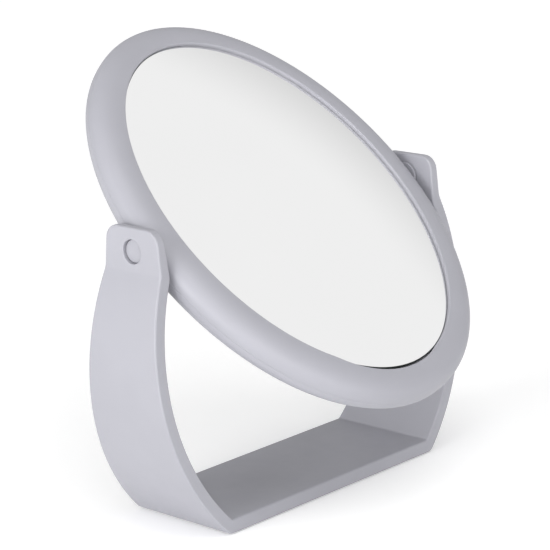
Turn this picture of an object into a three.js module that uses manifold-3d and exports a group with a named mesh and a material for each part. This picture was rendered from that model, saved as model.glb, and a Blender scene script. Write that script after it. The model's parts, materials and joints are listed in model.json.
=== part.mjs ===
// Two-sided oval table mirror on a one-piece U-shaped stand.
// Millimetres, +Z up, X along the pivot axis, front towards -Y.
// The origin lies on the table, below the middle of the pivot axis.

import * as THREE from "three";
import { mergeVertices } from "three/addons/utils/BufferGeometryUtils.js";
import Module from "manifold-3d";

// ---- Stand: a flat base plate with two bowed arms, one moulding ----
const FOOT_PROUD = 0.5;
const PLATE_THICKNESS = 6;
const ARM_THICKNESS = 5.9;
const ARM_ARC_RADIUS = 104.2;
const ARM_ARC_X = -4.5;
const ARM_ARC_Z = 75.4;
const DEPTH_AT_TABLE = 56;
const DEPTH_AT_PIVOT = 31.5;
const TAB_OUTER_X = 91.1;
const TAB_TOP_INNER_X = 87;
const TAB_ROOT_INNER_X = 85.7;
const TAB_ABOVE_PIVOT = 10.3;
const TAB_CORNER_RADIUS = 6;

// ---- Pivot ----
const PIVOT_HEIGHT = 125;
const HEAD_TILT = THREE.MathUtils.degToRad(47.5);
const PIN_SHANK_RADIUS = 2.5;
const PIN_HEAD_RADIUS = 4.9;
const PIN_HEAD_THICKNESS = 1.1;
const PIN_HEAD_OUTER_X = 89.8;
const PIN_INNER_X = 75.6;
const PIN_BARB_RADIUS = 2.65;
const SOCKET_RADIUS = 4.8;
const SOCKET_NECK_RADIUS = 3.7;
const SOCKET_INNER_X = 75.1;
const SOCKET_SHOULDER_X = 80;
const SOCKET_OUTER_X = 84.8;
const SOCKET_KEY_X = 77;
const SOCKET_KEY_SIZE = [2.4, 9.2, 14];
const WASHER_RADIUS = 6.4;
const WASHER_THICKNESS = 1.2;
const WASHER_INNER_X = 85.4;

// ---- Head: an oval ring frame in two halves, a mirror on each side ----
// A head radius r is half the width of an oval that is LONG_EXTRA taller at each end.
const HEAD_RADIUS = 85;
const LONG_EXTRA = 21;
const CROWN_RADIUS = 72.6;
const CROWN_HEIGHT = 8.6;
const CROWN_POWER = 2.6;
const SKIN = 2.2;
const HOLLOW_RADIUS = 74.8;
const RECESS_RADIUS = 70.9;
const LEDGE_HEIGHT = 4.5;
const LEDGE_THICKNESS = 1.8;
const INNER_WALL_RADIUS = 62.6;
const INNER_WALL_THICKNESS = 1.6;
const INNER_WALL_END = 1.5;
const CORE_RADIUS = 64.6;
const CORE_HALF_THICKNESS = 1.2;
const MIRROR_RADIUS = 70.5;
const MIRROR_BACK = 4.8;
const MIRROR_FACE = 6.7;
const MIRROR_ARRIS = 0.4;
const DISH_DEPTH = 2.4;
const DISHED_GLASS_THICKNESS = 2;
const FOAM_RADIUS = 61.8;

// ---- Notch that widens the recess at the foot of the glass, so a nail can lift it ----
const NOTCH_RADIUS = 48;
const NOTCH_REACH = 93.7;
const NOTCH_OFFSET = 2.4;

// ---- Screws that join the two halves of the frame ----
const SCREW_COUNT = 6;
const SCREW_RING_RADIUS = 68.4;
const BOSS_RADIUS = 3;
const SCREW_HOLE_RADIUS = 1.4;
const SCREW_SHANK_RADIUS = 1.1;
const SCREW_HEAD_RADIUS = 2.1;
const SCREW_HEAD_THICKNESS = 1;
const SCREW_SEAT_RADIUS = 2.5;
const SCREW_SEAT = 3.1;
const SCREW_TIP = 3.2;
const SCREW_HOLE_END = 3.6;

// ---- Feet ----
const FOOT_RADIUS = 5;
const FOOT_POCKET_DEPTH = 0.8;
const FOOT_X = 52;
const FOOT_Y = 18;

const CLEARANCE = 0.3;
const OVAL_SEGMENTS = 44;
const ROUND_SEGMENTS = 24;
const SMALL_SEGMENTS = 16;
const CUT_MARGIN = 5;
const STEP_TOLERANCE = 1e-4;

const wasm = await Module();
wasm.setup();

// ---- Solids ----

function toSolid(geometry) {
  const bare = geometry.clone();
  bare.deleteAttribute("normal");
  bare.deleteAttribute("uv");
  const merged = mergeVertices(bare, STEP_TOLERANCE);
  const vertProperties = new Float32Array(merged.attributes.position.array);
  const triVerts = new Uint32Array(merged.index.array);
  return new wasm.Manifold(new wasm.Mesh({ numProp: 3, vertProperties, triVerts }));
}

function toGeometry(manifold) {
  const { vertProperties, triVerts } = manifold.getMesh();
  const geometry = new THREE.BufferGeometry();
  geometry.setAttribute("position", new THREE.BufferAttribute(new Float32Array(vertProperties), 3));
  geometry.setIndex(new THREE.BufferAttribute(new Uint32Array(triVerts), 1));
  return geometry;
}

// A profile of [radius, height] pairs turned about the X axis; height runs along +X.
function turnedAboutX(profile, segments = ROUND_SEGMENTS) {
  const points = profile.map(([radius, x]) => new THREE.Vector2(radius, x));
  const geometry = new THREE.LatheGeometry(points, segments);
  geometry.rotateZ(-Math.PI / 2);
  return geometry;
}

function rodAlongX(radius, startX, endX, segments = ROUND_SEGMENTS) {
  return turnedAboutX([[0, startX], [radius, startX], [radius, endX], [0, endX]], segments);
}

// A profile of [head radius, height] pairs carried round the oval. Height runs along +Y.
function ovalTurned(profile) {
  const points = profile.map(([radius, height]) => new THREE.Vector2(radius, height));
  const geometry = new THREE.LatheGeometry(points, OVAL_SEGMENTS);
  const position = geometry.attributes.position;
  for (let i = 0; i < position.count; i += 1) {
    const angle = (Math.floor(i / points.length) / OVAL_SEGMENTS) * 2 * Math.PI;
    position.setZ(i, position.getZ(i) + LONG_EXTRA * Math.cos(angle));
  }
  return geometry;
}

// The front of the head faces -Y: the oval is symmetric, so half a turn about X does it.
function facingFront(geometry) {
  return geometry.rotateX(Math.PI);
}

function onOval(radius, angle) {
  return [radius * Math.sin(angle), (radius + LONG_EXTRA) * Math.cos(angle)];
}

// ---- Stand ----

function arcEndZ(radius, x) {
  return ARM_ARC_Z + Math.sqrt(radius ** 2 - (x - ARM_ARC_X) ** 2);
}

// Seen from the front: the right half is drawn, then mirrored for the left.
function standOutline() {
  const innerRadius = ARM_ARC_RADIUS - ARM_THICKNESS;
  const plateTop = FOOT_PROUD + PLATE_THICKNESS;
  const tabTop = PIVOT_HEIGHT + TAB_ABOVE_PIVOT;
  const arc = (radius, fromZ, toZ) => {
    const start = Math.asin((fromZ - ARM_ARC_Z) / radius);
    const end = Math.asin((toZ - ARM_ARC_Z) / radius);
    const curve = new THREE.Path();
    curve.absarc(ARM_ARC_X, ARM_ARC_Z, radius, start, end, end < start);
    return curve.getPoints(ROUND_SEGMENTS / 2);
  };
  const right = [
    ...arc(ARM_ARC_RADIUS, FOOT_PROUD, arcEndZ(ARM_ARC_RADIUS, TAB_OUTER_X)),
    new THREE.Vector2(TAB_OUTER_X, tabTop),
    new THREE.Vector2(TAB_TOP_INNER_X, tabTop),
    ...arc(innerRadius, arcEndZ(innerRadius, TAB_ROOT_INNER_X), plateTop),
  ];
  const left = right.map(({ x, y }) => new THREE.Vector2(-x, y)).reverse();
  return new THREE.Shape([...right, ...left]);
}

// Seen from the side: wide at the table, narrow at the tabs, with rounded tab corners.
function sideOutline() {
  const taper = (DEPTH_AT_TABLE - DEPTH_AT_PIVOT) / 2 / PIVOT_HEIGHT;
  const top = PIVOT_HEIGHT + TAB_ABOVE_PIVOT;
  const halfBottom = DEPTH_AT_TABLE / 2;
  const halfTop = halfBottom - taper * top;
  const cornerZ = top - TAB_CORNER_RADIUS;
  const halfCorner = halfBottom - taper * cornerZ;
  const shape = new THREE.Shape();
  shape.moveTo(-halfBottom, 0);
  shape.lineTo(halfBottom, 0);
  shape.lineTo(halfCorner, cornerZ);
  shape.quadraticCurveTo(halfTop, top, halfCorner - TAB_CORNER_RADIUS, top);
  shape.lineTo(TAB_CORNER_RADIUS - halfCorner, top);
  shape.quadraticCurveTo(-halfTop, top, -halfCorner, cornerZ);
  shape.closePath();
  return shape;
}

function standGeometry() {
  const depth = DEPTH_AT_TABLE + CUT_MARGIN;
  const front = new THREE.ExtrudeGeometry(standOutline(), { depth, bevelEnabled: false });
  front.rotateX(Math.PI / 2);
  front.translate(0, depth / 2, 0);

  const width = 2 * (ARM_ARC_RADIUS + CUT_MARGIN);
  const settings = { depth: width, bevelEnabled: false, curveSegments: 6 };
  const side = new THREE.ExtrudeGeometry(sideOutline(), settings);
  side.rotateX(Math.PI / 2);
  side.rotateZ(Math.PI / 2);
  side.translate(-width / 2, 0, 0);

  let stand = toSolid(front).intersect(toSolid(side));
  for (const sign of [-1, 1]) {
    stand = stand.subtract(pivotHole(sign));
    for (const footSign of [-1, 1]) {
      stand = stand.subtract(footPocket(sign * FOOT_X, footSign * FOOT_Y));
    }
  }
  return toGeometry(stand);
}

// Shank hole, outer counterbore for the pin head, inner spot face for the washer.
function pivotHole(sign) {
  const headSeat = PIN_HEAD_OUTER_X - PIN_HEAD_THICKNESS - CLEARANCE / 2;
  const washerSeat = WASHER_INNER_X + WASHER_THICKNESS + CLEARANCE;
  const hole = turnedAboutX([
    [0, WASHER_INNER_X - CUT_MARGIN],
    [WASHER_RADIUS + CLEARANCE, WASHER_INNER_X - CUT_MARGIN],
    [WASHER_RADIUS + CLEARANCE, washerSeat],
    [PIN_SHANK_RADIUS + CLEARANCE, washerSeat],
    [PIN_SHANK_RADIUS + CLEARANCE, headSeat],
    [PIN_HEAD_RADIUS + CLEARANCE, headSeat],
    [PIN_HEAD_RADIUS + CLEARANCE, TAB_OUTER_X + CUT_MARGIN],
    [0, TAB_OUTER_X + CUT_MARGIN],
  ]);
  if (sign < 0) hole.rotateZ(Math.PI);
  hole.translate(0, 0, PIVOT_HEIGHT);
  return toSolid(hole);
}

function disc(radius, thickness, x, y, bottomZ, segments = ROUND_SEGMENTS) {
  const geometry = new THREE.CylinderGeometry(radius, radius, thickness, segments);
  geometry.rotateX(Math.PI / 2);
  geometry.translate(x, y, bottomZ + thickness / 2);
  return geometry;
}

function footPocket(x, y) {
  const depth = FOOT_POCKET_DEPTH + FOOT_PROUD;
  return toSolid(disc(FOOT_RADIUS + CLEARANCE, depth, x, y, 0));
}

// ---- Head frame ----

// The rounded outside of the ring, from the parting plane up to the crown.
function crownCurve(innerRadius, outerRadius, height, steps) {
  const points = [];
  for (let i = 0; i <= steps; i += 1) {
    const angle = (Math.PI / 2) * (i / steps);
    const radius = innerRadius + (outerRadius - innerRadius) * Math.cos(angle) ** (2 / CROWN_POWER);
    points.push([radius, Math.max(CLEARANCE / 2, height * Math.sin(angle) ** (2 / CROWN_POWER))]);
  }
  return points;
}

function frameProfile() {
  const ledgeUnderside = LEDGE_HEIGHT - LEDGE_THICKNESS;
  const outside = crownCurve(CROWN_RADIUS, HEAD_RADIUS, CROWN_HEIGHT, 7);
  const inside = crownCurve(HOLLOW_RADIUS, HEAD_RADIUS - SKIN, CROWN_HEIGHT - SKIN, 4);
  const wallInside = INNER_WALL_RADIUS + INNER_WALL_THICKNESS;
  return [
    ...outside,
    [RECESS_RADIUS, CROWN_HEIGHT - CLEARANCE],
    [RECESS_RADIUS, LEDGE_HEIGHT],
    [INNER_WALL_RADIUS, LEDGE_HEIGHT],
    [INNER_WALL_RADIUS, INNER_WALL_END],
    [wallInside, INNER_WALL_END],
    [wallInside, ledgeUnderside],
    [HOLLOW_RADIUS, ledgeUnderside],
    ...inside.reverse(),
    outside[0],
  ];
}

function uprightCylinder(radius, fromHeight, toHeight, angle, segments = SMALL_SEGMENTS) {
  const [x, z] = onOval(SCREW_RING_RADIUS, angle);
  const length = toHeight - fromHeight;
  const geometry = new THREE.CylinderGeometry(radius, radius, length, segments);
  geometry.translate(x, (fromHeight + toHeight) / 2, z);
  return toSolid(geometry);
}

// It lies a little to the left of the middle, seen by somebody who looks into that mirror.
function liftingNotch(x, footZ) {
  const length = CROWN_HEIGHT + CUT_MARGIN - LEDGE_HEIGHT;
  const geometry = new THREE.CylinderGeometry(NOTCH_RADIUS, NOTCH_RADIUS, length, 2 * OVAL_SEGMENTS);
  geometry.translate(x, LEDGE_HEIGHT + length / 2, footZ - Math.sign(footZ) * NOTCH_RADIUS);
  return toSolid(geometry);
}

function screwAngles() {
  return Array.from({ length: SCREW_COUNT }, (_, i) => (i / SCREW_COUNT) * 2 * Math.PI);
}

// Both halves start from this shape; height runs along +Y away from the parting plane.
function frameHalf() {
  const parting = CLEARANCE / 2;
  let half = toSolid(ovalTurned(frameProfile()));
  for (const angle of screwAngles()) {
    half = half.add(uprightCylinder(BOSS_RADIUS, parting, LEDGE_HEIGHT - 1, angle));
  }
  for (const sign of [-1, 1]) {
    const neck = rodAlongX(SOCKET_NECK_RADIUS + CLEARANCE, SOCKET_INNER_X, HEAD_RADIUS + CUT_MARGIN);
    if (sign < 0) neck.rotateZ(Math.PI);
    half = half.subtract(toSolid(neck));
  }
  return half;
}

function frontFrameGeometry() {
  let frame = frameHalf();
  for (const angle of screwAngles()) {
    frame = frame.subtract(uprightCylinder(SCREW_HOLE_RADIUS, -1, SCREW_HOLE_END, angle));
  }
  // The turn that makes it face the front also brings the notch down to the foot.
  frame = frame.subtract(liftingNotch(-NOTCH_OFFSET, NOTCH_REACH));
  return facingFront(toGeometry(frame));
}

function rearFrameGeometry() {
  let frame = frameHalf();
  for (const angle of screwAngles()) {
    frame = frame.subtract(uprightCylinder(SCREW_HOLE_RADIUS, -1, LEDGE_HEIGHT, angle));
    frame = frame.subtract(uprightCylinder(SCREW_SEAT_RADIUS, SCREW_SEAT, LEDGE_HEIGHT + 1, angle));
  }
  return toGeometry(frame.subtract(liftingNotch(NOTCH_OFFSET, -NOTCH_REACH)));
}

function frameScrewGeometry(angle) {
  const [x, z] = onOval(SCREW_RING_RADIUS, angle);
  const headBottom = SCREW_SEAT + CLEARANCE / 2;
  const profile = [
    [0, -SCREW_TIP],
    [SCREW_SHANK_RADIUS / 2, -SCREW_TIP],
    [SCREW_SHANK_RADIUS, SCREW_SHANK_RADIUS - SCREW_TIP],
    [SCREW_SHANK_RADIUS, headBottom],
    [SCREW_HEAD_RADIUS, headBottom],
    [SCREW_HEAD_RADIUS, headBottom + SCREW_HEAD_THICKNESS],
    [0, headBottom + SCREW_HEAD_THICKNESS],
  ];
  const points = profile.map(([radius, height]) => new THREE.Vector2(radius, height));
  const geometry = new THREE.LatheGeometry(points, SMALL_SEGMENTS);
  geometry.translate(x, 0, z);
  return geometry;
}

// ---- Mirrors and what is between them ----

function frontMirrorGeometry() {
  return facingFront(ovalTurned([
    [0, MIRROR_BACK],
    [MIRROR_RADIUS, MIRROR_BACK],
    [MIRROR_RADIUS, MIRROR_FACE - MIRROR_ARRIS],
    [MIRROR_RADIUS - MIRROR_ARRIS, MIRROR_FACE],
    [0, MIRROR_FACE],
  ]));
}

// How far the magnifying face has sunk below its rim at a head radius.
function dishSag(radius) {
  return DISH_DEPTH * (1 - (radius / MIRROR_RADIUS) ** 2);
}

function dishedLine(fromRadius, toRadius, heightAt, steps) {
  return Array.from({ length: steps + 1 }, (_, i) => {
    const radius = fromRadius + (toRadius - fromRadius) * (i / steps);
    return [radius, heightAt(radius)];
  });
}

function rearMirrorGeometry() {
  const face = (radius) => MIRROR_FACE - dishSag(radius);
  const back = (radius) => face(radius) - DISHED_GLASS_THICKNESS;
  return ovalTurned([
    ...dishedLine(0, FOAM_RADIUS, back, 4),
    [INNER_WALL_RADIUS, MIRROR_BACK],
    [MIRROR_RADIUS, MIRROR_BACK],
    ...dishedLine(MIRROR_RADIUS, 0, face, 5),
  ]);
}

function frontFoamGeometry() {
  const bottom = CORE_HALF_THICKNESS + CLEARANCE;
  const top = MIRROR_BACK - CLEARANCE;
  return facingFront(ovalTurned([[0, bottom], [FOAM_RADIUS, bottom], [FOAM_RADIUS, top], [0, top]]));
}

function rearFoamGeometry() {
  const bottom = CORE_HALF_THICKNESS + CLEARANCE;
  const top = (radius) => MIRROR_FACE - dishSag(radius) - DISHED_GLASS_THICKNESS - CLEARANCE;
  const line = dishedLine(FOAM_RADIUS - CLEARANCE, 0, top, 4);
  return ovalTurned([[0, bottom], [FOAM_RADIUS - CLEARANCE, bottom], ...line]);
}

function corePlateGeometry() {
  return ovalTurned([
    [0, -CORE_HALF_THICKNESS],
    [CORE_RADIUS, -CORE_HALF_THICKNESS],
    [CORE_RADIUS, CORE_HALF_THICKNESS],
    [0, CORE_HALF_THICKNESS],
  ]);
}

// ---- Pivot pieces, drawn for the right side ----

// A barrel with an open bore for the pin. Its neck fills the hole in the ring's side, and its
// oblong key plate lies between the two halves of the ring, so it can't turn in them.
function pivotSocketGeometry() {
  const bore = PIN_BARB_RADIUS + CLEARANCE / 2;
  const barrel = turnedAboutX([
    [bore, SOCKET_INNER_X],
    [SOCKET_RADIUS, SOCKET_INNER_X],
    [SOCKET_RADIUS, SOCKET_SHOULDER_X],
    [SOCKET_NECK_RADIUS, SOCKET_SHOULDER_X],
    [SOCKET_NECK_RADIUS, SOCKET_OUTER_X],
    [bore, SOCKET_OUTER_X],
    [bore, SOCKET_INNER_X],
  ]);
  const boreRod = rodAlongX(bore, SOCKET_INNER_X - CUT_MARGIN, SOCKET_OUTER_X + CUT_MARGIN);
  const key = new THREE.BoxGeometry(...SOCKET_KEY_SIZE);
  key.translate(SOCKET_KEY_X, 0, 0);
  return toGeometry(toSolid(barrel).add(toSolid(key)).subtract(toSolid(boreRod)));
}

function pivotPinGeometry() {
  const headInner = PIN_HEAD_OUTER_X - PIN_HEAD_THICKNESS;
  const chamfer = 0.3;
  const profile = [
    [0, PIN_INNER_X],
    [PIN_SHANK_RADIUS - 2 * chamfer, PIN_INNER_X],
    [PIN_BARB_RADIUS, PIN_INNER_X + 1],
    [PIN_SHANK_RADIUS, PIN_INNER_X + 1.4],
    [PIN_SHANK_RADIUS, headInner],
    [PIN_HEAD_RADIUS, headInner],
    [PIN_HEAD_RADIUS, PIN_HEAD_OUTER_X - chamfer],
    [PIN_HEAD_RADIUS - chamfer, PIN_HEAD_OUTER_X],
    [0, PIN_HEAD_OUTER_X],
  ];
  return turnedAboutX(profile);
}

function frictionWasherGeometry() {
  const outerX = WASHER_INNER_X + WASHER_THICKNESS;
  const bore = PIN_SHANK_RADIUS + CLEARANCE;
  return turnedAboutX([
    [bore, WASHER_INNER_X],
    [WASHER_RADIUS, WASHER_INNER_X],
    [WASHER_RADIUS, outerX],
    [bore, outerX],
    [bore, WASHER_INNER_X],
  ]);
}

// ---- Materials ----

const finish = {
  softTouch: { color: 0xc9c8d2, roughness: 0.55, metalness: 0 },
  mirror: { color: 0xf2f3f4, roughness: 0.03, metalness: 1 },
  rubber: { color: 0x55565a, roughness: 0.9, metalness: 0 },
  foam: { color: 0xe6e4dc, roughness: 0.95, metalness: 0 },
  board: { color: 0x8c8f94, roughness: 0.8, metalness: 0 },
  nylon: { color: 0xe9e8e2, roughness: 0.5, metalness: 0 },
  steel: { color: 0xb9bcc0, roughness: 0.3, metalness: 1 },
};

function addPiece(parent, name, geometry, look) {
  const mesh = new THREE.Mesh(geometry, new THREE.MeshStandardMaterial(finish[look]));
  mesh.name = name;
  parent.add(mesh);
  return mesh;
}

// ---- Assembly ----

const mirrorAssembly = new THREE.Group();

addPiece(mirrorAssembly, "u_stand", standGeometry(), "softTouch");
for (const [sideName, x] of [["left", -FOOT_X], ["right", FOOT_X]]) {
  for (const [endName, y] of [["front", -FOOT_Y], ["rear", FOOT_Y]]) {
    const height = FOOT_PROUD + FOOT_POCKET_DEPTH - CLEARANCE;
    const foot = disc(FOOT_RADIUS, height, x, y, 0);
    addPiece(mirrorAssembly, `foot_pad_${endName}_${sideName}`, foot, "rubber");
  }
}

const head = new THREE.Group();
head.position.z = PIVOT_HEIGHT;
head.rotation.x = -HEAD_TILT;
mirrorAssembly.add(head);

addPiece(head, "front_frame", frontFrameGeometry(), "softTouch");
addPiece(head, "rear_frame", rearFrameGeometry(), "softTouch");
addPiece(head, "front_mirror", frontMirrorGeometry(), "mirror");
addPiece(head, "rear_mirror", rearMirrorGeometry(), "mirror");
addPiece(head, "front_foam_pad", frontFoamGeometry(), "foam");
addPiece(head, "rear_foam_pad", rearFoamGeometry(), "foam");
addPiece(head, "core_plate", corePlateGeometry(), "board");
screwAngles().forEach((angle, i) => {
  addPiece(head, `frame_screw_${i + 1}`, frameScrewGeometry(angle), "steel");
});

for (const [sideName, turn] of [["right", 0], ["left", Math.PI]]) {
  addPiece(head, `${sideName}_pivot_socket`, pivotSocketGeometry(), "nylon").rotation.z = turn;
  addPiece(head, `${sideName}_pivot_pin`, pivotPinGeometry(), "softTouch").rotation.z = turn;
  const ring = frictionWasherGeometry();
  const washer = addPiece(mirrorAssembly, `${sideName}_friction_washer`, ring, "softTouch");
  washer.rotation.z = turn;
  washer.position.z = PIVOT_HEIGHT;
}

export default mirrorAssembly;
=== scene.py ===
import json
import math

import bmesh
import bpy
from mathutils import Matrix, Vector


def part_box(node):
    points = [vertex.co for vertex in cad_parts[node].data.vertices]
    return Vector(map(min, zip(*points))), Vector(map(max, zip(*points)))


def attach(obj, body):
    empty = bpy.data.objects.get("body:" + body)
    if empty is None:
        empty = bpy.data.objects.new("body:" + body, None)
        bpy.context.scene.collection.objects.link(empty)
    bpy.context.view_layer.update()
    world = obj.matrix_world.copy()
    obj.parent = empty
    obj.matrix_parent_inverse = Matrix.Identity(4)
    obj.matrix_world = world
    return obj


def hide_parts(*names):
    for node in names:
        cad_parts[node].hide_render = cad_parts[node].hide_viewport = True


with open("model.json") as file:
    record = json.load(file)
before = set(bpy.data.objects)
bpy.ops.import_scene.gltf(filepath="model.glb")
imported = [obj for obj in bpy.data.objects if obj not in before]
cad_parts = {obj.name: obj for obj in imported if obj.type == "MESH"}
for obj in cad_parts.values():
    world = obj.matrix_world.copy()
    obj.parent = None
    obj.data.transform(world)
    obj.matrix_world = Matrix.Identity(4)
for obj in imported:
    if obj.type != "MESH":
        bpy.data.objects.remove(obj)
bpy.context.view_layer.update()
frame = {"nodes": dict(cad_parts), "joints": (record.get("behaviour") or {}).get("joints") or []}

# Sizes and distances are in millimetres and become metres where they are used.
MM = 0.001

# A rounded corner takes at most this share of the length beside it.
ROUNDING_SHARE = 0.45

# ---- Smooth shading: angles in degrees ----
SHARP_ABOVE = 38
GLASS_SHARP_ABOVE = 25
FLAT_FACE_WEIGHT = 60

# ---- Stand ----
PLATE_THICKNESS = 6.0
ARM_THICKNESS = 5.9
ARM_ARC_RADIUS = 104.2
ARM_ARC_CENTRE = (-4.5, 75.4)
DEPTH_AT_TABLE = 56.0
DEPTH_AT_PIVOT = 31.5
TAB_OUTER_X = 91.1
TAB_TOP_INNER_X = 87.0
TAB_ROOT_INNER_X = 85.7
TAB_CORNER_RADIUS = 6.0
EDGE_RADIUS = 0.9
BEND_SOFTNESS = 1.6
OUTER_CORNER_SOFTNESS = 2.0
INNER_CORNER_SOFTNESS = 0.8
EDGE_STEPS = 4
BEND_STEPS = 4
ARM_STEPS = 56
TAB_CORNER_STEPS = 14

# ---- Head ----
HEAD_TILT = math.radians(47.5)
HEAD_RADIUS = 85.0
LONG_EXTRA = 21.0
CROWN_RADIUS = 72.6
CROWN_HEIGHT = 8.6
CROWN_POWER = 2.6
SKIN = 2.2
HOLLOW_RADIUS = 74.8
HOLLOW_HEIGHT = 6.3
HOLLOW_ROOF = ((77.5, 6.0), (80.4, 4.9), (82.2, 3.0))
RECESS_RADIUS = 70.9
LIP_ROUNDING = 0.8
LIP_DROP = 0.05
LEDGE_HEIGHT = 4.5
LEDGE_UNDERSIDE = 2.7
LEDGE_INNER_RADIUS = 62.6
INNER_WALL_END = 1.5
INNER_WALL_THICKNESS = 1.6
PARTING_GAP = 0.02
PARTING_ROUNDING = 0.12
MIRROR_RADIUS = 70.75
MIRROR_BACK = 4.8
MIRROR_FACE = 6.7
MIRROR_ARRIS = 0.2
ARRIS_ROUNDING = 0.12
MIRROR_BACK_ROUNDING = 0.2
DISH_DEPTH = 2.4
DISHED_GLASS_THICKNESS = 2.0
NOTCH_RADIUS = 48.0
NOTCH_REACH = 93.7
NOTCH_OFFSET = 2.4
OVAL_SEGMENTS = 224
ROUND_SEGMENTS = 72
SMALL_SEGMENTS = 48
CROWN_STEPS = 26
LIP_STEPS = 6
FACE_RINGS = 26
BACK_RINGS = 12
DISHED_BACK_RINGS = 10

# ---- Pivot ----
PIN_SHANK_RADIUS = 2.5
PIN_HEAD_RADIUS = 4.9
PIN_HEAD_THICKNESS = 1.1
PIN_HEAD_OUTER_X = 89.8
PIN_HEAD_CROWN = 0.12
PIN_HEAD_ROUNDING = 0.35
PIN_ROUNDING = 0.1
PIN_INNER_X = 75.6
PIN_TIP_TAPER = 0.6
PIN_TIP_ROUNDING = 0.15
PIN_BARB_PROUD = 0.15
PIN_BARB_LENGTHS = (1.0, 1.4)
PIN_HOLE_ROUNDING = 0.35
HOLE_CUTTER_FLARE = 0.56
HOLE_CUTTER_MARGIN = 0.5
SOCKET_NECK_RADIUS = 3.7
NECK_HOLE_INNER_X = 70.0
WASHER_RADIUS = 6.4
WASHER_THICKNESS = 1.2
WASHER_INNER_X = 85.4
WASHER_ROUNDING = 0.2
CLEARANCE = 0.3
CUT_MARGIN = 4.0

# ---- Feet ----
FOOT_RADIUS = 5.0
FOOT_ROUNDING = 0.25
FOOT_POCKET_DEPTH = 0.8
FOOT_GROOVE_DEPTH = 0.2
FOOT_GROOVE_EDGES = (0.60, 0.44)
FOOT_GROOVE_SLOPE = 0.02

# ---- Camera: the photograph's viewing angle ----
CAMERA_AZIMUTH = math.radians(-47.07)
CAMERA_ELEVATION = math.radians(14.62)
CAMERA_ROLL = math.radians(-1.96)
CAMERA_DISTANCE = 1055.4
CAMERA_AIM = (14.7, 18.3, 89.7)
CAMERA_LENS = 152.55
SENSOR_WIDTH = 36.0
CLIP_START = 50.0
CLIP_END = 40000.0

# ---- Studio ----
STUDIO_WHITE = 0.6
CARD_WHITE = 0.93
CARD_AZIMUTH = math.radians(59.9)
CARD_ELEVATION = math.radians(49.7)
CARD_HALF_ANGLE = math.radians(14.8)
CARD_FADE_ANGLE = math.radians(17.3)
FLOOR_GLOW_NEAR = 0.2
FLOOR_GLOW_FAR = 0.4
GLOW_NEAR_DISTANCE = 200.0
GLOW_FAR_DISTANCE = 1600.0
FLOOR_HALF_SIZE = 9000.0
SOFTBOX_SIZE = 1200.0
SOFTBOX_DISTANCE = 1800.0
SOFTBOXES = (
    # name, azimuth and elevation in degrees, watts
    ("key_from_left", -90, 8, 26.0),
    ("front_fill", -30, 8, 13.2),
    ("high_front", -30, 62, 9.7),
)

scene = bpy.context.scene
pivot_z = frame["joints"][0]["pos_m"][2] / MM


def node_box(node):
    low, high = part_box(node)
    return low / MM, high / MM


stand_low, stand_high = node_box("u_stand")
PLATE_BOTTOM = stand_low.z
TAB_TOP = stand_high.z
foot_nodes = sorted(n for n in frame["nodes"] if n.startswith("foot_pad_"))


# ---------------------------------------------------------------- meshes

def object_from(name, bm):
    """Turns a bmesh in millimetres into a linked object in metres."""
    bmesh.ops.scale(bm, vec=(MM, MM, MM), verts=bm.verts)
    bmesh.ops.recalc_face_normals(bm, faces=bm.faces)
    mesh = bpy.data.meshes.new(name)
    bm.to_mesh(mesh)
    bm.free()
    piece = bpy.data.objects.new(name, mesh)
    scene.collection.objects.link(piece)
    return piece


def bridge(bm, ring_a, ring_b, material=0):
    count = len(ring_a)
    for i in range(count):
        j = (i + 1) % count
        face = bm.faces.new((ring_a[i], ring_a[j], ring_b[j], ring_b[i]))
        face.material_index = material


def close_with_fan(bm, ring, centre, material=0):
    middle = bm.verts.new(centre)
    count = len(ring)
    for i in range(count):
        face = bm.faces.new((ring[i], ring[(i + 1) % count], middle))
        face.material_index = material


def turned_about_x(profile, segments=ROUND_SEGMENTS):
    """Carries [radius, x] pairs round the X axis. An end on the axis closes with a fan."""
    bm = bmesh.new()
    closed = profile[0] == profile[-1]
    rings = []
    for radius, x in profile[:-1] if closed else profile:
        if radius == 0:
            continue
        angles = [2 * math.pi * i / segments for i in range(segments)]
        rings.append([bm.verts.new((x, radius * math.cos(a), radius * math.sin(a))) for a in angles])
    for ring_a, ring_b in zip(rings, rings[1:]):
        bridge(bm, ring_a, ring_b)
    if closed:
        bridge(bm, rings[-1], rings[0])
    else:
        close_with_fan(bm, rings[0], (profile[0][1], 0, 0))
        close_with_fan(bm, rings[-1], (profile[-1][1], 0, 0))
    return bm


def rounded(corners, radius, steps=4, closed=True):
    """An outline whose corners are rounded with short curves. A corner may give its own radius."""
    outline = []
    count = len(corners)
    for i, corner in enumerate(corners):
        point = Vector(corner[:2])
        soft = corner[2] if len(corner) > 2 else radius
        if soft == 0 or (not closed and i in (0, count - 1)):
            outline.append(tuple(point))
            continue
        before = Vector(corners[i - 1][:2]) - point
        after = Vector(corners[(i + 1) % count][:2]) - point
        start = point + before.normalized() * min(soft, before.length * ROUNDING_SHARE)
        end = point + after.normalized() * min(soft, after.length * ROUNDING_SHARE)
        outline += bend(start, point, end, steps)
    return outline


def bend(start, corner, end, steps):
    """Points of the curve that leaves start towards corner and arrives at end."""
    points = []
    for i in range(steps + 1):
        t = i / steps
        point = start * (1 - t) ** 2 + corner * 2 * t * (1 - t) + end * t ** 2
        points.append(tuple(point))
    return points


def oval_point(radius, angle, height):
    """A point of the head before it is tilted; height grows towards the front, -Y."""
    return (radius * math.sin(angle), -height, (radius + LONG_EXTRA) * math.cos(angle))


def oval_ring(bm, radius, height):
    angles = [2 * math.pi * i / OVAL_SEGMENTS for i in range(OVAL_SEGMENTS)]
    return [bm.verts.new(oval_point(radius, a, height)) for a in angles]


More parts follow.
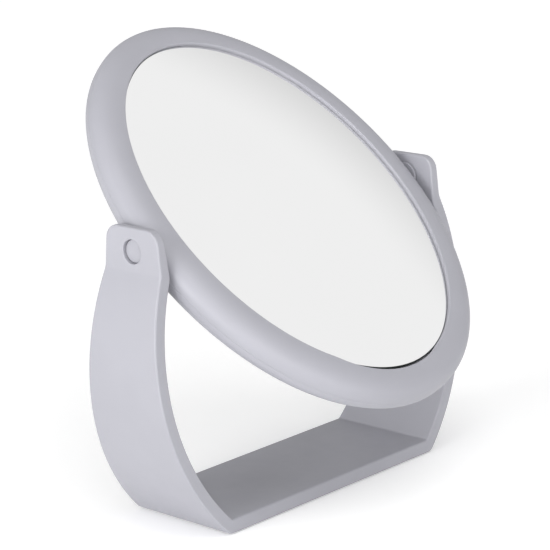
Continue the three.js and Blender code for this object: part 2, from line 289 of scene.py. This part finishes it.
def scaled_oval_ring(bm, share, radius, height):
    """A smaller copy of the oval of this radius, in proportion rather than at a distance."""
    ring = []
    for i in range(OVAL_SEGMENTS):
        x, y, z = oval_point(radius, 2 * math.pi * i / OVAL_SEGMENTS, height)
        ring.append(bm.verts.new((x * share, y, z * share)))
    return ring


def place_on_head(piece, facing_rear=False):
    """Moves a mesh from the upright head's own frame to its tilted place on the pivot."""
    turn = Matrix.Rotation(math.pi, 4, "Z") if facing_rear else Matrix.Identity(4)
    tilt = Matrix.Rotation(-HEAD_TILT, 4, "X")
    lift = Matrix.Translation((0, 0, pivot_z * MM))
    piece.data.transform(lift @ tilt @ turn)
    return piece


def on_left(piece):
    piece.data.transform(Matrix.Rotation(math.pi, 4, "Z"))
    return piece


def apply_modifiers(piece):
    graph = bpy.context.evaluated_depsgraph_get()
    mesh = bpy.data.meshes.new_from_object(piece.evaluated_get(graph))
    piece.modifiers.clear()
    old = piece.data
    piece.data = mesh
    bpy.data.meshes.remove(old)


def cut(piece, *cutters):
    """Takes the cutters away from the piece and deletes them."""
    for cutter in cutters:
        step = piece.modifiers.new("cut", "BOOLEAN")
        step.operation = "DIFFERENCE"
        step.solver = "EXACT"
        step.object = cutter
    apply_modifiers(piece)
    for cutter in cutters:
        bpy.data.objects.remove(cutter, do_unlink=True)
    return piece


def smooth(piece, sharp_above=SHARP_ABOVE):
    """Smooth shading that keeps flat faces flat and corners above this angle sharp."""
    mesh = piece.data
    mesh.shade_smooth()
    mesh.set_sharp_from_angle(angle=math.radians(sharp_above))
    weighted = piece.modifiers.new("flat faces stay flat", "WEIGHTED_NORMAL")
    weighted.keep_sharp = True
    weighted.weight = FLAT_FACE_WEIGHT
    return piece


def finish_piece(piece, node, body, slot, *materials):
    """Gives a piece its materials and body, and lets it stand for its CAD node; its slot argument is not
    used.
    """
    for material in materials:
        piece.data.materials.append(material)
    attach(piece, body)
    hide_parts(node)


# ---------------------------------------------------------------- materials

class Shader:
    """A node material with one Principled shader and object-space coordinates."""

    def __init__(self, name, color, roughness, metallic=0.0, **sockets):
        self.material = bpy.data.materials.new(name)
        self.material.use_nodes = True
        self.nodes = self.material.node_tree.nodes
        self.links = self.material.node_tree.links
        self.principled = self.nodes["Principled BSDF"]
        self.principled.inputs["Base Color"].default_value = (*color, 1)
        self.principled.inputs["Roughness"].default_value = roughness
        self.principled.inputs["Metallic"].default_value = metallic
        for socket, value in sockets.items():
            self.principled.inputs[socket.replace("_", " ")].default_value = value
        self.place = self.nodes.new("ShaderNodeTexCoord").outputs["Object"]

    def noise(self, size_mm, detail=3.0, roughness=0.5, stretch=None):
        noise = self.nodes.new("ShaderNodeTexNoise")
        noise.inputs["Scale"].default_value = 1 / (size_mm * MM)
        noise.inputs["Detail"].default_value = detail
        noise.inputs["Roughness"].default_value = roughness
        place = self.place
        if stretch:
            mapping = self.nodes.new("ShaderNodeMapping")
            mapping.inputs["Scale"].default_value = stretch
            self.links.new(place, mapping.inputs["Vector"])
            place = mapping.outputs["Vector"]
        self.links.new(place, noise.inputs["Vector"])
        return noise.outputs["Fac"]

    def cells(self, size_mm):
        cells = self.nodes.new("ShaderNodeTexVoronoi")
        cells.inputs["Scale"].default_value = 1 / (size_mm * MM)
        self.links.new(self.place, cells.inputs["Vector"])
        return cells.outputs["Distance"]

    def between(self, factor, low, high, from_low=0.3, from_high=0.7):
        """Maps a 0 to 1 pattern to a number range."""
        ranged = self.nodes.new("ShaderNodeMapRange")
        ranged.inputs["From Min"].default_value = from_low
        ranged.inputs["From Max"].default_value = from_high
        ranged.inputs["To Min"].default_value = low
        ranged.inputs["To Max"].default_value = high
        self.links.new(factor, ranged.inputs["Value"])
        return ranged.outputs["Result"]

    def ramp(self, factor, *stops):
        ramp = self.nodes.new("ShaderNodeValToRGB")
        elements = ramp.color_ramp.elements
        while len(elements) < len(stops):
            elements.new(0.5)
        for element, (position, color) in zip(elements, stops):
            element.position = position
            element.color = (*color, 1)
        self.links.new(factor, ramp.inputs["Fac"])
        return ramp.outputs["Color"]

    def set(self, socket, output):
        self.links.new(output, self.principled.inputs[socket])

    def bump(self, height, depth_mm):
        bump = self.nodes.new("ShaderNodeBump")
        bump.inputs["Strength"].default_value = 1.0
        bump.inputs["Distance"].default_value = depth_mm * MM
        if self.principled.inputs["Normal"].is_linked:
            earlier = self.principled.inputs["Normal"].links[0].from_socket
            self.links.new(earlier, bump.inputs["Normal"])
        self.links.new(height, bump.inputs["Height"])
        self.links.new(bump.outputs["Normal"], self.principled.inputs["Normal"])


def shade(color, factor):
    return tuple(min(1.0, c * factor) for c in color)


def soft_touch_plastic(name, color):
    """Moulded plastic with a satin soft-touch skin: a fine even grain and faint mottling."""
    shader = Shader(name, color, 0.5)
    mottle = shader.noise(34, detail=2)
    shader.set("Base Color", shader.ramp(mottle, (0.3, shade(color, 0.975)), (0.7, shade(color, 1.02))))
    shader.set("Roughness", shader.between(shader.noise(9, detail=4), 0.44, 0.54))
    shader.bump(shader.noise(0.35, detail=2), 0.012)
    shader.bump(shader.noise(26, detail=1), 0.05)
    return shader.material


def silvered_glass(name):
    """A mirror: a clean silver behind glass, with a trace of wiping marks in its gloss."""
    color = (0.93, 0.93, 0.93)
    shader = Shader(name, color, 0.02, metallic=1.0)
    wiped = shader.noise(14, detail=5, stretch=(1, 1, 0.35))
    shader.set("Roughness", shader.between(wiped, 0.008, 0.03))
    tint = shader.noise(60, detail=1)
    shader.set("Base Color", shader.ramp(tint, (0.3, shade(color, 0.992)), (0.7, color)))
    return shader.material


def glass_edge(name):
    """The ground edge of the glass, coloured nearly black: partly its own dark tone, as light that enters
    it is lost behind the silver, and partly painted shade for the shadowed slot at the foot of the glass.
    """
    color = (0.03, 0.036, 0.034)
    shader = Shader(name, color, 0.45, Specular_IOR_Level=0.2)
    ground = shader.noise(0.8, detail=3)
    shader.set("Base Color", shader.ramp(ground, (0.3, shade(color, 0.8)), (0.7, shade(color, 1.2))))
    shader.set("Roughness", shader.between(ground, 0.4, 0.55))
    return shader.material


def mirror_backing(name):
    """The grey paint on the back of a mirror."""
    color = (0.22, 0.24, 0.25)
    shader = Shader(name, color, 0.6)
    brushed = shader.noise(5, detail=4)
    shader.set("Base Color", shader.ramp(brushed, (0.3, shade(color, 0.88)), (0.7, shade(color, 1.12))))
    shader.bump(brushed, 0.02)
    return shader.material


def rubber(name):
    color = (0.11, 0.11, 0.115)
    shader = Shader(name, color, 0.85)
    dusty = shader.noise(3, detail=4)
    shader.set("Base Color", shader.ramp(dusty, (0.35, color), (0.75, shade(color, 1.5))))
    shader.bump(shader.cells(0.5), 0.03)
    return shader.material


def foam(name):
    color = (0.78, 0.76, 0.70)
    shader = Shader(name, color, 0.95)
    pores_and_painted_shade = shader.cells(0.7)
    # The colour is darker in the pores: painted shade in the pores. The same pattern also dents them
    # through the bump.
    shader.set("Base Color", shader.ramp(pores_and_painted_shade, (0.0, shade(color, 0.72)), (0.45, color)))
    shader.bump(pores_and_painted_shade, 0.2)
    return shader.material


def fibreboard(name):
    color = (0.30, 0.28, 0.25)
    shader = Shader(name, color, 0.85)
    fibres = shader.noise(1.2, detail=6, roughness=0.7, stretch=(1, 1, 0.25))
    shader.set("Base Color", shader.ramp(fibres, (0.3, shade(color, 0.75)), (0.7, shade(color, 1.25))))
    shader.bump(fibres, 0.05)
    return shader.material


def nylon(name):
    color = (0.78, 0.77, 0.72)
    shader = Shader(name, color, 0.38, Subsurface_Weight=0.15, Subsurface_Scale=0.001)
    flow = shader.noise(6, detail=3)
    shader.set("Base Color", shader.ramp(flow, (0.3, shade(color, 0.94)), (0.7, shade(color, 1.03))))
    shader.set("Roughness", shader.between(flow, 0.32, 0.44))
    return shader.material


def zinc_plated_steel(name):
    color = (0.56, 0.57, 0.59)
    shader = Shader(name, color, 0.3, metallic=1.0)
    grain = shader.noise(0.9, detail=5)
    shader.set("Base Color", shader.ramp(grain, (0.3, shade(color, 0.85)), (0.7, shade(color, 1.08))))
    shader.set("Roughness", shader.between(grain, 0.22, 0.4))
    shader.bump(grain, 0.01)
    return shader.material


BODY_COLOR = (0.337, 0.336, 0.371)
body_plastic = soft_touch_plastic("soft_touch_plastic", BODY_COLOR)
silver = silvered_glass("silvered_glass")
# The glass edge is near black: partly its own dark tone, partly painted shade for the shadowed slot at the
# foot of the glass.
glass_edge_and_painted_shade = glass_edge("ground_glass_edge_and_painted_shade")
backing = mirror_backing("mirror_backing_paint")
pad_rubber = rubber("foot_rubber")
pad_foam = foam("foam")
board = fibreboard("fibreboard")
natural_nylon = nylon("natural_nylon")
plated_steel = zinc_plated_steel("zinc_plated_steel")


# ---------------------------------------------------------------- stand

def half_depth(z):
    taper = (DEPTH_AT_TABLE - DEPTH_AT_PIVOT) / 2 / pivot_z
    half = DEPTH_AT_TABLE / 2 - taper * z
    above = z - (TAB_TOP - TAB_CORNER_RADIUS)
    if above > 0:
        half -= TAB_CORNER_RADIUS - math.sqrt(max(0, TAB_CORNER_RADIUS ** 2 - above ** 2))
    return half


def arc_points(radius, from_z, to_z):
    centre_x, centre_z = ARM_ARC_CENTRE
    start = math.asin((from_z - centre_z) / radius)
    end = math.asin((to_z - centre_z) / radius)
    points = []
    for i in range(ARM_STEPS + 1):
        angle = start + (end - start) * i / ARM_STEPS
        points.append(Vector((centre_x + radius * math.cos(angle), centre_z + radius * math.sin(angle))))
    return points


def arc_height_at(radius, x):
    centre_x, centre_z = ARM_ARC_CENTRE
    return centre_z + math.sqrt(radius ** 2 - (x - centre_x) ** 2)


def tab_heights():
    """Heights down the tab: close together round its rounded top corners."""
    corner_z = TAB_TOP - TAB_CORNER_RADIUS
    angles = [math.pi / 2 * (1 - i / TAB_CORNER_STEPS) for i in range(TAB_CORNER_STEPS + 1)]
    return [corner_z + TAB_CORNER_RADIUS * math.sin(a) for a in angles]


def face_line(tab_x_at, arc_radius, arc_end_x, floor_z, corner_soft):
    """One face of the right half of the stand in the XZ plane, from the tab's top to the middle."""
    kink_z = arc_height_at(arc_radius, arc_end_x)
    arc = arc_points(arc_radius, kink_z, floor_z)
    tab = [Vector((tab_x_at(z), z)) for z in tab_heights()]
    kink = arc[0]
    above_kink = kink + (tab[-1] - kink).normalized() * BEND_SOFTNESS
    below_kink = kink + (arc[1] - kink).normalized() * BEND_SOFTNESS
    corner = arc[-1]
    above_corner = corner + (arc[-2] - corner).normalized() * corner_soft
    beside_corner = corner - Vector((corner_soft, 0))
    line = tab + [Vector(p) for p in bend(above_kink, kink, below_kink, BEND_STEPS)]
    line += arc[2:-2]
    line += [Vector(p) for p in bend(above_corner, corner, beside_corner, BEND_STEPS)]
    line += [Vector((beside_corner.x * share, floor_z)) for share in (0.75, 0.5, 0.25, 0)]
    return line


def tab_outer_x(z):
    """The outer face of the tab is upright, so it is the same at every height."""
    return TAB_OUTER_X


def tab_inner_x(z):
    root_z = arc_height_at(ARM_ARC_RADIUS - ARM_THICKNESS, TAB_ROOT_INNER_X)
    share = (z - root_z) / (TAB_TOP - root_z)
    return TAB_ROOT_INNER_X + (TAB_TOP_INNER_X - TAB_ROOT_INNER_X) * share


def top_edge_inset(z):
    above = z - (TAB_TOP - EDGE_RADIUS)
    if above <= 0:
        return 0.0
    return EDGE_RADIUS - math.sqrt(max(0, EDGE_RADIUS ** 2 - above ** 2))


def section_ring(bm, outer, inner):
    """A rounded oblong across the stand: outer face, front edge, inner face, back edge."""
    across = inner - outer
    thickness = across.length
    across = across / thickness
    inset = top_edge_inset(max(outer.y, inner.y))
    low, high = inset, thickness - inset
    radius = min(EDGE_RADIUS, (high - low) * ROUNDING_SHARE)
    ring = []
    for depth_sign, near in ((-1, True), (-1, False), (1, False), (1, True)):
        for i in range(EDGE_STEPS + 1):
            share = i / EDGE_STEPS if (near == (depth_sign < 0)) else 1 - i / EDGE_STEPS
            angle = math.pi / 2 * share
            along = radius * (1 - math.sin(angle))
            inward = radius * (1 - math.cos(angle))
            across_by = low + inward if near else high - inward
            point = outer + across * across_by
            half = half_depth(point.y) - along
            ring.append(bm.verts.new((point.x, depth_sign * half, point.y)))
    return ring


def make_stand():
    outer = face_line(tab_outer_x, ARM_ARC_RADIUS, TAB_OUTER_X, PLATE_BOTTOM, OUTER_CORNER_SOFTNESS)
    inner_radius = ARM_ARC_RADIUS - ARM_THICKNESS
    plate_top = PLATE_BOTTOM + PLATE_THICKNESS
    inner = face_line(tab_inner_x, inner_radius, TAB_ROOT_INNER_X, plate_top, INNER_CORNER_SOFTNESS)
    mirrored = [[Vector((-p.x, p.y)) for p in reversed(line[:-1])] for line in (outer, inner)]
    bm = bmesh.new()
    rings = [section_ring(bm, a, b) for a, b in zip(outer + mirrored[0], inner + mirrored[1])]
    for ring_a, ring_b in zip(rings, rings[1:]):
        bridge(bm, ring_a, ring_b)
    for end in (rings[0], rings[-1]):
        bm.faces.new(end)
    stand = object_from("stand_moulding", bm)
    cutters = [pivot_hole(), on_left(pivot_hole())] + [foot_pocket(node) for node in foot_nodes]
    cut(stand, *cutters)
    finish_piece(smooth(stand), "u_stand", "stand", "body_plastic", body_plastic)


def pivot_hole():
    """Spot face for the washer, shank hole and counterbore for the pin head, with eased rims."""
    spot_x = WASHER_INNER_X + WASHER_THICKNESS + CLEARANCE
    seat_x = PIN_HEAD_OUTER_X - PIN_HEAD_THICKNESS - CLEARANCE / 2
    bore = PIN_HEAD_RADIUS + CLEARANCE
    rim = PIN_HOLE_ROUNDING
    profile = [
        (0, WASHER_INNER_X - CUT_MARGIN),
        (WASHER_RADIUS + CLEARANCE, WASHER_INNER_X - CUT_MARGIN),
        (WASHER_RADIUS + CLEARANCE, spot_x),
        (PIN_SHANK_RADIUS + CLEARANCE, spot_x),
        (PIN_SHANK_RADIUS + CLEARANCE, seat_x),
        (bore, seat_x),
        (bore, TAB_OUTER_X - rim),
    ]
    for i in range(1, EDGE_STEPS + 1):
        angle = math.pi / 2 * i / EDGE_STEPS
        profile.append((bore + rim * (1 - math.cos(angle)), TAB_OUTER_X - rim + rim * math.sin(angle)))
    end_x = TAB_OUTER_X + HOLE_CUTTER_MARGIN
    profile += [(bore + HOLE_CUTTER_FLARE, end_x), (0, end_x)]
    hole = object_from("pivot_hole_cutter", turned_about_x(profile))
    hole.data.transform(Matrix.Translation((0, 0, pivot_z * MM)))
    return hole


def under_stand(piece, node, z):
    """Stands a piece that was turned about X at a foot's place, at height z, with its +X end down."""
    low, high = node_box(node)
    place = Vector(((low.x + high.x) / 2, (low.y + high.y) / 2, z))
    piece.data.transform(Matrix.Translation(place * MM) @ Matrix.Rotation(math.pi / 2, 4, "Y"))
    return piece


def foot_pocket(node):
    radius = FOOT_RADIUS + CLEARANCE
    profile = [
        (0, -FOOT_POCKET_DEPTH), (radius, -FOOT_POCKET_DEPTH), (radius, CUT_MARGIN), (0, CUT_MARGIN),
    ]
    bm = turned_about_x(profile, SMALL_SEGMENTS)
    return under_stand(object_from("foot_pocket_cutter", bm), node, PLATE_BOTTOM)


def make_foot(node):
    """A disc of rubber with a rounded rim and a shallow ring moulded into its underside."""
    low, high = node_box(node)
    height = high.z - low.z
    corners = [(0, -height, 0), (FOOT_RADIUS, -height), (FOOT_RADIUS, 0)]
    outer, inner = FOOT_GROOVE_EDGES
    for share, depth in (
        (outer + FOOT_GROOVE_SLOPE, 0), (outer - FOOT_GROOVE_SLOPE, FOOT_GROOVE_DEPTH),
        (inner + FOOT_GROOVE_SLOPE, FOOT_GROOVE_DEPTH), (inner - FOOT_GROOVE_SLOPE, 0),
    ):
        corners.append((FOOT_RADIUS * share, -depth, FOOT_GROOVE_DEPTH / 2))
    corners.append((0, 0, 0))
    bm = turned_about_x(rounded(corners, FOOT_ROUNDING, closed=False), SMALL_SEGMENTS)
    foot = under_stand(object_from(node.replace("foot_pad", "rubber_foot"), bm), node, low.z)
    finish_piece(smooth(foot), node, "stand", "rubber_feet", pad_rubber)


# ---------------------------------------------------------------- ring frame

def ring_outside():
    """The soft outside of one half of the ring, from the parting line to the crown."""
    width = HEAD_RADIUS - CROWN_RADIUS
    points = []
    for i in range(CROWN_STEPS + 1):
        angle = math.pi / 2 * i / CROWN_STEPS
        radius = CROWN_RADIUS + width * max(0, math.cos(angle)) ** (2 / CROWN_POWER)
        points.append((radius, CROWN_HEIGHT * math.sin(angle) ** (2 / CROWN_POWER)))
    return points


def ring_profile():
    outside = [p for p in ring_outside() if p[1] > PARTING_GAP + 2 * PARTING_ROUNDING]
    parting = rounded([
        (HEAD_RADIUS - SKIN, PARTING_GAP, 0), (HEAD_RADIUS, PARTING_GAP), (*outside[0], 0),
    ], PARTING_ROUNDING, closed=False)[:-1]
    lip = rounded([
        (*outside[-2], 0), (RECESS_RADIUS, CROWN_HEIGHT - LIP_DROP), (RECESS_RADIUS, LEDGE_HEIGHT, 0),
    ], LIP_ROUNDING, steps=LIP_STEPS, closed=False)[1:]
    wall_outer_radius = LEDGE_INNER_RADIUS + INNER_WALL_THICKNESS
    hollow = [
        (LEDGE_INNER_RADIUS, LEDGE_HEIGHT), (LEDGE_INNER_RADIUS, INNER_WALL_END),
        (wall_outer_radius, INNER_WALL_END), (wall_outer_radius, LEDGE_UNDERSIDE),
        (HOLLOW_RADIUS, LEDGE_UNDERSIDE), (HOLLOW_RADIUS, HOLLOW_HEIGHT), *HOLLOW_ROOF,
    ]
    return parting + outside + lip + hollow


def notch_cutter():
    """A shallow scoop out of the recess wall, at the foot of the glass and a little to its left."""
    bm = bmesh.new()
    bmesh.ops.create_cone(
        bm, cap_ends=True, segments=OVAL_SEGMENTS, radius1=NOTCH_RADIUS, radius2=NOTCH_RADIUS,
        depth=2 * CROWN_HEIGHT,
    )
    notch = object_from("notch_cutter", bm)
    lie_down = Matrix.Rotation(math.pi / 2, 4, "X")
    middle = Vector((-NOTCH_OFFSET, -(LEDGE_HEIGHT + CROWN_HEIGHT), NOTCH_RADIUS - NOTCH_REACH))
    notch.data.transform(Matrix.Translation(middle * MM) @ lie_down)
    return notch


def make_ring_half(name, node, facing_rear):
    bm = bmesh.new()
    rings = [oval_ring(bm, radius, height) for radius, height in ring_profile()]
    for ring_a, ring_b in zip(rings, rings[1:]):
        bridge(bm, ring_a, ring_b)
    bridge(bm, rings[-1], rings[0])
    half = object_from(name, bm)
    neck = SOCKET_NECK_RADIUS + CLEARANCE
    end_x = HEAD_RADIUS + CUT_MARGIN
    profile = [(0, NECK_HOLE_INNER_X), (neck, NECK_HOLE_INNER_X), (neck, end_x), (0, end_x)]
    cutters = [object_from("neck_cutter", turned_about_x(profile, SMALL_SEGMENTS)) for _ in range(2)]
    on_left(cutters[1])
    cut(half, *cutters, notch_cutter())
    place_on_head(half, facing_rear)
    finish_piece(smooth(half), node, "head", "body_plastic", body_plastic)


# ---------------------------------------------------------------- mirrors

FACE, EDGE, BACK = range(3)


def make_mirror(name, node, dish, facing_rear):
    """A glass plate whose face may be dished, with a small bevel round its edge."""
    bm = bmesh.new()
    face_radius = MIRROR_RADIUS - MIRROR_ARRIS

    def dished(share):
        return MIRROR_FACE - dish * (1 - share ** 2)

    shares = [i / FACE_RINGS for i in range(FACE_RINGS, 0, -1)]
    face_rings = [scaled_oval_ring(bm, s, face_radius, dished(s)) for s in shares]
    edge = rounded([
        (face_radius, MIRROR_FACE, 0), (MIRROR_RADIUS, MIRROR_FACE - MIRROR_ARRIS, ARRIS_ROUNDING),
        (MIRROR_RADIUS, MIRROR_BACK), (LEDGE_INNER_RADIUS, MIRROR_BACK, 0),
    ], MIRROR_BACK_ROUNDING, closed=False)[1:]
    edge_rings = [oval_ring(bm, radius, height) for radius, height in edge]
    bridge(bm, face_rings[0], edge_rings[0], EDGE)
    for ring_a, ring_b in zip(edge_rings, edge_rings[1:]):
        bridge(bm, ring_a, ring_b, EDGE)
    for ring_a, ring_b in zip(face_rings, face_rings[1:]):
        bridge(bm, ring_a, ring_b, FACE)
    close_with_fan(bm, face_rings[-1], (0, -dished(0), 0), FACE)
    if dish:
        back_rings = []
        for i in range(DISHED_BACK_RINGS, 0, -1):
            share = i / BACK_RINGS
            height = dished(share) - DISHED_GLASS_THICKNESS
            back_rings.append(scaled_oval_ring(bm, share, face_radius, height))
        bridge(bm, edge_rings[-1], back_rings[0], BACK)
        for ring_a, ring_b in zip(back_rings, back_rings[1:]):
            bridge(bm, ring_a, ring_b, BACK)
        close_with_fan(bm, back_rings[-1], (0, DISHED_GLASS_THICKNESS - dished(0), 0), BACK)
    else:
        close_with_fan(bm, edge_rings[-1], (0, -MIRROR_BACK, 0), BACK)
    mirror = smooth(place_on_head(object_from(name, bm), facing_rear), GLASS_SHARP_ABOVE)
    # The edge slot gets the near-black glass edge, which is partly painted shade.
    finish_piece(mirror, node, "head", "mirror_glass", silver, glass_edge_and_painted_shade, backing)


# ---------------------------------------------------------------- pivot pieces

def make_pivot_pin(side):
    """A round-headed pin with an eased, very slightly crowned head and a barbed inner end."""
    head_inner = PIN_HEAD_OUTER_X - PIN_HEAD_THICKNESS
    crown = [
        (PIN_HEAD_RADIUS * share, PIN_HEAD_OUTER_X - PIN_HEAD_CROWN * share ** 2, 0)
        for share in (0.8, 0.6, 0.4, 0.2)
    ]
    barb_start, barb_end = (PIN_INNER_X + length for length in PIN_BARB_LENGTHS)
    corners = [
        (0, PIN_INNER_X, 0), (PIN_SHANK_RADIUS - PIN_TIP_TAPER, PIN_INNER_X, PIN_TIP_ROUNDING),
        (PIN_SHANK_RADIUS + PIN_BARB_PROUD, barb_start), (PIN_SHANK_RADIUS, barb_end),
        (PIN_SHANK_RADIUS, head_inner), (PIN_HEAD_RADIUS, head_inner),
        (PIN_HEAD_RADIUS, PIN_HEAD_OUTER_X - PIN_HEAD_CROWN, PIN_HEAD_ROUNDING),
        *crown, (0, PIN_HEAD_OUTER_X, 0),
    ]
    pin = object_from(f"{side}_pin", turned_about_x(rounded(corners, PIN_ROUNDING, closed=False)))
    if side == "left":
        on_left(pin)
    place_on_head(pin)
    finish_piece(smooth(pin), f"{side}_pivot_pin", "head", "body_plastic", body_plastic)


def make_washer(side):
    bore = PIN_SHANK_RADIUS + CLEARANCE
    outer_x = WASHER_INNER_X + WASHER_THICKNESS
    outline = rounded([
        (bore, WASHER_INNER_X), (WASHER_RADIUS, WASHER_INNER_X), (WASHER_RADIUS, outer_x), (bore, outer_x),
    ], WASHER_ROUNDING)
    washer = object_from(f"{side}_washer", turned_about_x(outline + outline[:1]))
    if side == "left":
        on_left(washer)
    washer.data.transform(Matrix.Translation((0, 0, pivot_z * MM)))
    finish_piece(smooth(washer), f"{side}_friction_washer", "stand", "body_plastic", body_plastic)


# ---------------------------------------------------------------- assembly

make_stand()
for foot_node in foot_nodes:
    make_foot(foot_node)
make_ring_half("front_ring", "front_frame", facing_rear=False)
make_ring_half("rear_ring", "rear_frame", facing_rear=True)
make_mirror("front_glass", "front_mirror", 0.0, facing_rear=False)
make_mirror("rear_glass", "rear_mirror", DISH_DEPTH, facing_rear=True)
for side_name in ("left", "right"):
    make_pivot_pin(side_name)
    make_washer(side_name)

hidden_finish = {
    "front_foam_pad": pad_foam, "rear_foam_pad": pad_foam, "core_plate": board,
    "left_pivot_socket": natural_nylon, "right_pivot_socket": natural_nylon,
}
hidden_finish |= {node: plated_steel for node in frame["nodes"] if node.startswith("frame_screw_")}
for hidden_node, finish in hidden_finish.items():
    slots = frame["nodes"][hidden_node].data.materials
    slots.clear()
    slots.append(finish)


# ---------------------------------------------------------------- studio

def make_floor():
    bm = bmesh.new()
    bmesh.ops.create_grid(bm, x_segments=1, y_segments=1, size=FLOOR_HALF_SIZE)
    floor = object_from("studio_floor", bm)
    shader = Shader("pale_paper", (0.9, 0.9, 0.9), 0.9)
    shader.set("Base Color", shader.ramp(shader.noise(400), (0.3, (0.895,) * 3), (0.7, (0.905,) * 3)))
    shader.principled.inputs["Emission Color"].default_value = (1, 1, 1, 1)
    distance = shader.nodes.new("ShaderNodeVectorMath")
    distance.operation = "LENGTH"
    shader.links.new(shader.place, distance.inputs[0])
    glow = shader.between(
        distance.outputs["Value"], FLOOR_GLOW_NEAR, FLOOR_GLOW_FAR,
        GLOW_NEAR_DISTANCE * MM, GLOW_FAR_DISTANCE * MM,
    )
    shader.set("Emission Strength", glow)
    floor.data.materials.append(shader.material)


def direction(azimuth, elevation):
    """The unit vector towards a compass direction: 0 is the front, -Y, and 90 degrees is +X."""
    flat = math.cos(elevation)
    return Vector((math.sin(azimuth) * flat, -math.cos(azimuth) * flat, math.sin(elevation)))


def make_softbox(name, azimuth, elevation, power):
    """A square area light that looks at the pivot from a compass direction."""
    light = bpy.data.lights.new(name, "AREA")
    light.shape = "SQUARE"
    light.size = SOFTBOX_SIZE * MM
    light.energy = power
    lamp = bpy.data.objects.new(name, light)
    scene.collection.objects.link(lamp)
    back = direction(math.radians(azimuth), math.radians(elevation))
    lamp.location = (Vector((0, 0, pivot_z)) + back * SOFTBOX_DISTANCE) * MM
    lamp.rotation_mode = "QUATERNION"
    lamp.rotation_quaternion = (-back).to_track_quat("-Z", "Y")


def make_world():
    """Even studio white, with one brighter round card for the glass to reflect."""
    world = bpy.data.worlds.new("studio_white")
    world.use_nodes = True
    nodes, links = world.node_tree.nodes, world.node_tree.links
    looking = nodes.new("ShaderNodeTexCoord").outputs["Generated"]
    toward_card = nodes.new("ShaderNodeVectorMath")
    toward_card.operation = "DOT_PRODUCT"
    toward_card.inputs[1].default_value = direction(CARD_AZIMUTH, CARD_ELEVATION)
    links.new(looking, toward_card.inputs[0])
    brightness = nodes.new("ShaderNodeMapRange")
    brightness.interpolation_type = "SMOOTHSTEP"
    brightness.inputs["From Min"].default_value = math.cos(CARD_FADE_ANGLE)
    brightness.inputs["From Max"].default_value = math.cos(CARD_HALF_ANGLE)
    brightness.inputs["To Min"].default_value = STUDIO_WHITE
    brightness.inputs["To Max"].default_value = CARD_WHITE
    links.new(toward_card.outputs["Value"], brightness.inputs["Value"])
    background = nodes["Background"]
    background.inputs["Color"].default_value = (1, 1, 1, 1)
    links.new(brightness.outputs["Result"], background.inputs["Strength"])
    scene.world = world


def make_camera():
    right = Vector((math.cos(CAMERA_AZIMUTH), math.sin(CAMERA_AZIMUTH), 0))
    back = direction(CAMERA_AZIMUTH, CAMERA_ELEVATION)
    up = back.cross(right)
    rolled_right = right * math.cos(CAMERA_ROLL) + up * math.sin(CAMERA_ROLL)
    rolled_up = up * math.cos(CAMERA_ROLL) - right * math.sin(CAMERA_ROLL)
    data = bpy.data.cameras.new("camera")
    data.sensor_width = SENSOR_WIDTH
    data.lens = CAMERA_LENS
    data.clip_start = CLIP_START * MM
    data.clip_end = CLIP_END * MM
    camera = bpy.data.objects.new("camera", data)
    scene.collection.objects.link(camera)
    place = (Vector(CAMERA_AIM) + back * CAMERA_DISTANCE) * MM
    axes = Matrix((rolled_right, rolled_up, back)).transposed().to_4x4()
    camera.matrix_world = Matrix.Translation(place) @ axes
    scene.camera = camera


make_floor()
make_world()
for softbox in SOFTBOXES:
    make_softbox(*softbox)
make_camera()
scene.view_settings.view_transform = "Standard"
